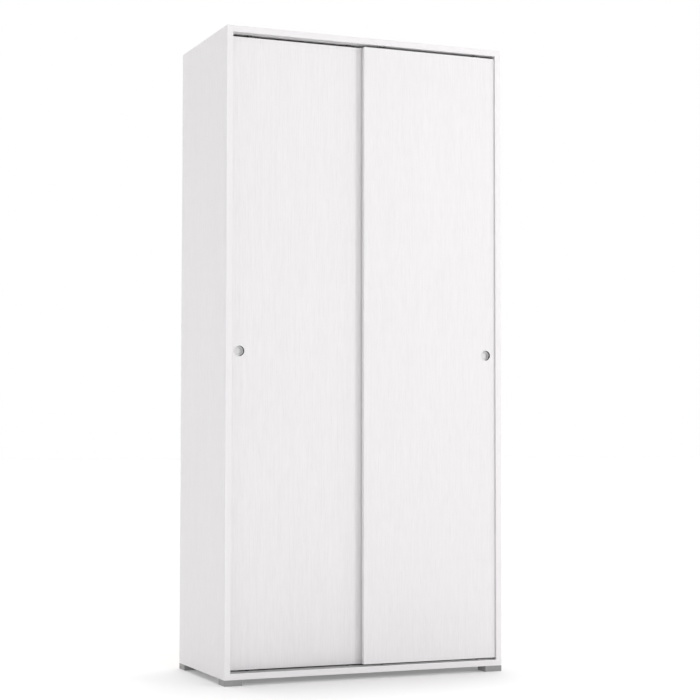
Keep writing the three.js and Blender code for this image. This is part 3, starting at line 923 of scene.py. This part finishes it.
FOOT_CORNER = 2 * MM
FOOT_EDGE = 0.6 * MM
FOOT_BORE = 5 * MM
FOOT_BORE_DEPTH = 12 * MM
FOOT_SCREW = (4 * MM, 2.4 * MM)


def add_feet():
    """Low square blocks, each with a counterbored screw from below."""
    lip = FOOT_BORE + 2 * FOOT_EDGE
    bore = [(0, -FOOT_EDGE), (lip, -FOOT_EDGE), (FOOT_BORE, FOOT_EDGE)]
    bore += [(FOOT_BORE, FOOT_BORE_DEPTH), (0, FOOT_BORE_DEPTH)]
    for row in ROWS:
        for side in ENDS:
            node = f"foot_{row}_{side}"
            low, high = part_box(node)
            outline = rectangle(low.xy, high.xy, FOOT_CORNER)
            pad = prism(outline, "Z", low.z, high.z, FOOT_EDGE)
            under = middle(node, z=low.z)
            stand_in(node, cut(pad, turned(bore, under, Z)), "foot_plastic", GREY_PLASTIC)
            screw = screw_head(*FOOT_SCREW)
            seat = under + FOOT_BORE_DEPTH * Z
            show(f"{node}_screw", stamped(screw, [seat], -Z), "carcass", [ZINC])


# ---------------------------------------------------------------- floor track and top channels

LANES = {"front": middle("right_door_panel").y, "rear": middle("left_door_panel").y}
# The wardrobe's own floor and ceiling, which the partition stands between.
FLOOR_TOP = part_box("centre_partition")[0].z
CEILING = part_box("centre_partition")[1].z

RIDGE_HALF = 1.2 * MM
RIDGE_TOP = 0.99 * RIDGE_HALF
RIDGE_ROOT = 0.6 * MM
TRACK_EDGE = 0.4 * MM
TRACK_SCREW = (3.4 * MM, 1.8 * MM)
TRACK_SINK = 1.08 * TRACK_SCREW[0]
TRACK_SCREW_INSET = 22 * MM
TRACK_SCREW_PITCH = 200 * MM


def add_track():
    """The floor track, screwed down between its two ridges."""
    low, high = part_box("bottom_track")
    corners = [(low.y, low.z, 0), (high.y, low.z, 0), (high.y, FLOOR_TOP, TRACK_EDGE)]
    for lane in (LANES["rear"], LANES["front"]):
        corners += [
            (lane + RIDGE_HALF, FLOOR_TOP, RIDGE_ROOT),
            (lane + RIDGE_HALF, high.z, RIDGE_TOP),
            (lane - RIDGE_HALF, high.z, RIDGE_TOP),
            (lane - RIDGE_HALF, FLOOR_TOP, RIDGE_ROOT),
        ]
    corners.append((low.y, FLOOR_TOP, TRACK_EDGE))
    strip = prism(rounded(corners, steps=8), "X", low.x, high.x)
    between = (LANES["front"] + LANES["rear"]) / 2
    radius, height = TRACK_SCREW
    stations = spread(low.x + TRACK_SCREW_INSET, high.x - TRACK_SCREW_INSET, TRACK_SCREW_PITCH)
    places = [(x, between, FLOOR_TOP) for x in stations]
    sink = [(0, -height), (radius / 2, -height), (TRACK_SINK, 0), (TRACK_SINK, height), (0, height)]
    strip = cut(strip, stamped(turned(sink, (0, 0, 0), Z), places, Z))
    stand_in("bottom_track", strip, "track_metal", TRACK_METAL)
    heads = stamped(screw_head(radius, height, countersunk=True), places, Z)
    show("track_screws", heads, "carcass", [ZINC])


CHANNEL_HALF = 4 * MM
CHANNEL_WALL = 1.2 * MM
CHANNEL_EDGE = 0.3 * MM


def add_channels():
    """Guide channels, mouth down, with thin lips against the top panel."""
    for name, lane in LANES.items():
        node = f"top_channel_{name}"
        low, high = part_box(node)
        lip = (high.y - low.y) / 2
        slot = CHANNEL_HALF - CHANNEL_WALL
        outside = [(lip, low.z), (lip, CEILING), (CHANNEL_HALF, CEILING), (CHANNEL_HALF, high.z)]
        inside = [(slot, high.z - CHANNEL_WALL), (slot, low.z)]
        loop = outside + [(-u, v) for u, v in reversed(outside)]
        loop += [(-u, v) for u, v in reversed(inside)] + inside
        outline = rounded([(lane + u, v, CHANNEL_EDGE) for u, v in loop], steps=3)
        stand_in(node, prism(outline, "X", low.x, high.x), "channel_plastic", PALE_PLASTIC)


# ---------------------------------------------------------------- door fittings

HOUSING_HALF = (23 * MM, 5.5 * MM)
HOUSING_CORNER = 2 * MM
PLATE_CORNER = 5.9 * MM
PLATE_EDGE = 0.3 * MM
WHEEL_SLOT_HALF = (13 * MM, 3 * MM)
WHEEL_SLOT_END = 0.99 * WHEEL_SLOT_HALF[1]
WHEEL_SLOT_HEIGHT = 18 * MM
AXLE_BORE = 2.15 * MM
AXLE_BORE_REACH = 10 * MM
PAST_PLATE = 1 * MM
PLATE_SCREW = (3.2 * MM, 1.0 * MM)
PLATE_SCREW_SUNK = 0.4 * MM
PLATE_SCREW_INSET = 6 * MM


def centred(place, half, radius):
    """A rounded rectangle outline round a place."""
    half_x, half_y = half
    low = (place.x - half_x, place.y - half_y)
    high = (place.x + half_x, place.y + half_y)
    return rectangle(low, high, radius)


def add_roller(door, end):
    """A roller's housing in the door's lower edge: a cover plate, a slotted body and two screws."""
    panel_low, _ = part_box(f"{door}_panel")
    node = f"{door}_roller_housing_{end}"
    low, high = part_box(node)
    place = (low + high) / 2
    axis = middle(f"{door}_wheel_{end}")
    plate_half = ((high.x - low.x) / 2, (high.y - low.y) / 2)
    plate = prism(centred(place, plate_half, PLATE_CORNER), "Z", low.z, panel_low.z, PLATE_EDGE)
    body = prism(centred(place, HOUSING_HALF, HOUSING_CORNER), "Z", panel_low.z - PLATE_EDGE, high.z)
    mouth = centred(place, WHEEL_SLOT_HALF, WHEEL_SLOT_END)
    slot = prism(mouth, "Z", low.z - PAST_PLATE, panel_low.z + WHEEL_SLOT_HEIGHT)
    bore = rod(AXLE_BORE, -AXLE_BORE_REACH, AXLE_BORE_REACH, axis, Y)
    stand_in(node, cut(cut(join(plate, body), slot), bore), "guide_plastic", DARK_PLASTIC)
    reach = plate_half[0] - PLATE_SCREW_INSET
    places = [(place.x + side * reach, place.y, low.z) for side in (-1, 1)]
    heads = stamped(screw_head(*PLATE_SCREW), places, -Z)
    bmesh.ops.translate(heads, vec=PLATE_SCREW_SUNK * Z, verts=heads.verts)
    show(f"{door}_roller_screws_{end}", heads, door, [ZINC])


# One side of the groove, from the rim to its bottom: radius, and distance from the middle.
WHEEL_GROOVE = ((11 * MM, 1.6 * MM), (10.25 * MM, 1.35 * MM), (9.8 * MM, 0.8 * MM))
WHEEL_HUB = 4 * MM
WHEEL_WEB = 0.7 * MM
WHEEL_RIM = 2 * MM
WHEEL_EDGE = 0.3 * MM
WHEEL_HOLES = 6
WHEEL_HOLE_RADIUS = 1.2 * MM


def add_wheel(door, end):
    """A grooved wheel whose thinner web has a ring of round holes."""
    node = f"{door}_wheel_{end}"
    low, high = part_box(node)
    centre = (low + high) / 2
    radius, half = (high.z - low.z) / 2, (high.y - low.y) / 2
    side = [
        (AXLE_BORE, half),
        (WHEEL_HUB, half),
        (WHEEL_HUB + WHEEL_EDGE, half - WHEEL_WEB),
        (radius - WHEEL_RIM - WHEEL_EDGE, half - WHEEL_WEB),
        (radius - WHEEL_RIM, half),
        (radius - WHEEL_EDGE, half),
        (radius, half - WHEEL_EDGE),
    ]
    side += WHEEL_GROOVE
    profile = side + [(r, -h) for r, h in reversed(side)]
    disc = turned(profile, centre, Y, segments=64)
    ring = (WHEEL_HUB + radius - WHEEL_RIM) / 2
    holes = []
    for index in range(WHEEL_HOLES):
        angle = 2 * math.pi * index / WHEEL_HOLES
        place = centre + Vector((ring * math.cos(angle), 0, ring * math.sin(angle)))
        holes.append(rod(WHEEL_HOLE_RADIUS, -2 * half, 2 * half, place, Y, HOLE_SEGMENTS))
    stand_in(node, cut(disc, *holes), "guide_plastic", DARK_PLASTIC)


def add_axle(door, end):
    node = f"{door}_axle_{end}"
    low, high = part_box(node)
    radius, half = (high.z - low.z) / 2, (high.y - low.y) / 2
    edge = radius / 5
    corners = [(0, -half, 0), (radius, -half, edge), (radius, half, edge), (0, half, 0)]
    pin = turned(rounded(corners, steps=3), (low + high) / 2, Y, SMALL_SEGMENTS)
    stand_in(node, pin, "fitting_steel", ZINC)


GUIDE_PEG_HALF = (15 * MM, 4 * MM)
GUIDE_PLATE = 1.5 * MM
GUIDE_CORNER = 2 * MM
TONGUE_HALF = (8 * MM, 2 * MM)
TONGUE_END = 0.98 * TONGUE_HALF[1]


def add_guide(door, end):
    """A top guide: a peg in the door's upper edge, a cover plate and a tongue in the channel."""
    _, panel_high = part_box(f"{door}_panel")
    node = f"{door}_top_guide_{end}"
    low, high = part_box(node)
    place = (low + high) / 2
    plate_half = ((high.x - low.x) / 2, (high.y - low.y) / 2)
    top = panel_high.z + GUIDE_PLATE
    peg = prism(centred(place, GUIDE_PEG_HALF, PLATE_EDGE), "Z", low.z, top - PLATE_EDGE)
    plate = prism(centred(place, plate_half, GUIDE_CORNER), "Z", panel_high.z, top, PLATE_EDGE)
    outline = centred(place, TONGUE_HALF, TONGUE_END)
    tongue = prism(outline, "Z", top - PLATE_EDGE, high.z, 2 * PLATE_EDGE)
    stand_in(node, join(plate, peg, tongue), "guide_plastic", DARK_PLASTIC)


PULL_RIM_LIP = 0.6 * MM
PULL_CUP = 15.1 * MM
PULL_BODY = 15.9 * MM
PULL_LEDGE = 9.2 * MM
PULL_DISH = (9 * MM, 10.9 * MM)
PULL_FILLET = 1.2 * MM
PULL_EDGE = 0.25 * MM
# A face of the pull is wall rather than floor or rim when its normal leans this little outward.
WALL_UNDER = 0.7


def add_pull(door):
    """A finger pull: a thin rim on the door's face, a wall whose near-black colour is painted shade,
    and a ledge round a deeper dish.
    """
    node = f"{door.split('_')[0]}_finger_pull"
    low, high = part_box(node)
    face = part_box(f"{door}_panel")[0].y
    centre = middle(node, y=face)
    rim, back = (high.x - low.x) / 2, face - high.y
    dish, dish_depth = PULL_DISH
    corners = [
        (0, -dish_depth, 0),
        (dish, -dish_depth, PULL_EDGE),
        (dish, -PULL_LEDGE, PULL_EDGE),
        (PULL_CUP, -PULL_LEDGE, PULL_FILLET),
        (PULL_CUP, PULL_RIM_LIP, PULL_EDGE),
        (rim, PULL_RIM_LIP, PULL_EDGE),
        (rim, 0, 0),
        (PULL_BODY, 0, 0),
        (PULL_BODY, back, 0),
        (0, back, 0),
    ]
    shape = turned(rounded(corners), centre, -Y, segments=96)
    for cup_face in shape.faces:
        place = cup_face.calc_center_median() - centre
        wall = abs(cup_face.normal.y) < WALL_UNDER
        inside = place.xz.length < PULL_CUP + PULL_EDGE / 2 and place.y > 0
        # The cup's inner wall takes the near-black painted-shade material.
        cup_face.material_index = 1 if wall and inside else 0
    stand_in(node, shape, "pull_metal", PULL_METAL, PULL_PAINTED_SHADE_WALL)


def add_door_fittings():
    for door in DOORS:
        add_pull(door)
        for end in ENDS:
            add_roller(door, end)
            add_wheel(door, end)
            add_axle(door, end)
            add_guide(door, end)


BUFFER_EDGE = 0.3 * MM
# The flat crown of a buffer, as a share of its radius.
BUFFER_CROWN = 0.6


def add_buffers():
    """Soft pads in the sides, sloping a little from a flat crown to a round edge."""
    for side, inward in INWARD.items():
        for lane in LANES:
            node = f"door_buffer_{side}_{lane}"
            low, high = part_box(node)
            radius, thickness = (high.z - low.z) / 2, high.x - low.x
            base = middle(node) - inward * thickness / 2
            corners = [
                (0, 0, 0),
                (radius, 0, 0),
                (radius, thickness - BUFFER_EDGE, BUFFER_EDGE),
                (radius * BUFFER_CROWN, thickness, radius),
                (0, thickness, 0),
            ]
            shape = turned(rounded(corners), base, inward)
            stand_in(node, shape, "buffer_rubber", CLEAR_RUBBER)


# ---------------------------------------------------------------- hanging rail

RAIL_WALL = 1.2 * MM
BRACKET_PLATE = (12 * MM, 32 * MM, 2.5 * MM)
BRACKET_CLEAR = 0.3 * MM
BRACKET_WALL = 1.8 * MM
BRACKET_REACH = 14.5 * MM
BRACKET_EDGE = 0.4 * MM
BRACKET_PEG = 2.5 * MM
BRACKET_PEG_REACH = 8 * MM
BRACKET_PEG_SPACING = 32 * MM
BRACKET_SHANK = 1.9 * MM
BRACKET_HEAD = 1.8 * MM
BRACKET_HEAD_ROUND = 0.8 * BRACKET_HEAD
# The depth of its screw's recess, as a share of the head's radius.
BRACKET_RECESS_DEPTH = 0.4


def add_rail():
    """The oval tube and the two brackets that cradle its ends."""
    low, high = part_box("hanging_rail")
    centre = ((low.y + high.y) / 2, (low.z + high.z) / 2)
    radius = (high.y - low.y) / 2
    straight = high.z - low.z - 2 * radius
    tube = prism(oval(centre, radius, straight), "X", low.x, high.x)
    inside = oval(centre, radius - RAIL_WALL, straight)
    hollow = prism(inside, "X", low.x - RAIL_WALL, high.x + RAIL_WALL)
    stand_in("hanging_rail", cut(tube, hollow), "rail_metal", CHROME)
    left_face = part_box("left_side_panel")[1].x
    partition_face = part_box("centre_partition")[0].x
    for end, face, out in (("outer", left_face, 1), ("inner", partition_face, -1)):
        add_bracket(f"rail_bracket_{end}", face, out, centre, radius, straight)
        add_bracket_screw(f"rail_bracket_screw_{end}", face, out)


def add_bracket(node, face, out, centre, radius, straight):
    """A bracket: an oval plate on the board, two pegs in it, and a cradle that is open above."""

    def stretch(start, end):
        return sorted((face + out * start, face + out * end))

    y, z = centre
    plate_radius, plate_straight, plate = BRACKET_PLATE
    inside = radius + BRACKET_CLEAR
    outside = oval(centre, inside + BRACKET_WALL, straight)
    base = prism(oval(centre, plate_radius, plate_straight), "X", *stretch(0, plate), BRACKET_EDGE)
    shell = prism(outside, "X", *stretch(plate / 2, BRACKET_REACH), BRACKET_EDGE)
    hollow = prism(oval(centre, inside, straight), "X", *stretch(plate, 2 * BRACKET_REACH))
    past = inside + 2 * BRACKET_WALL
    open_from = z + straight / 2
    opening = rectangle((y - past, open_from), (y + past, open_from + past))
    mouth = prism(opening, "X", *stretch(plate, 2 * BRACKET_REACH))
    start, end = stretch(-BRACKET_PEG_REACH, plate / 2)
    pegs = []
    for side in (-1, 1):
        foot = (start, y, z + side * BRACKET_PEG_SPACING / 2)
        pegs.append(rod(BRACKET_PEG, 0, end - start, foot, X, segments=24))
    shape = cut(cut(join(base, shell, *pegs), hollow), mouth)
    stand_in(node, shape, "rail_metal", CHROME)


def add_bracket_screw(node, face, out):
    """The bracket's screw: a round shank and a domed head with a cross."""
    low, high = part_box(node)
    head_radius = (high.z - low.z) / 2
    length = high.x - low.x
    head_at = length - BRACKET_HEAD
    corners = [
        (0, 0, 0),
        (BRACKET_SHANK, 2 * BRACKET_SHANK, 0),
        (BRACKET_SHANK, head_at, 0),
        (head_radius, head_at, 0),
        (head_radius, length, BRACKET_HEAD_ROUND),
        (0, length, 0),
    ]
    tip = middle(node, x=low.x if out > 0 else high.x)
    shape = turned(rounded(corners), tip, out * X, SMALL_SEGMENTS)
    top = tip + out * length * X
    reach, depth = head_radius * RECESS_REACH, head_radius * BRACKET_RECESS_DEPTH
    stand_in(node, cut(shape, cross_recess(top, out * X, reach, depth)), "fitting_steel", ZINC)


# ---------------------------------------------------------------- finish

bpy.context.scene.view_settings.view_transform = "Standard"
bpy.context.scene.view_settings.look = "None"

add_camera()
add_world()
add_lights()
add_floor()
add_boards()
add_back_boards()
add_cams()
add_shelf_cams()
add_pins()
add_nails()
add_feet()
add_track()
add_channels()
add_door_fittings()
add_buffers()
add_rail()
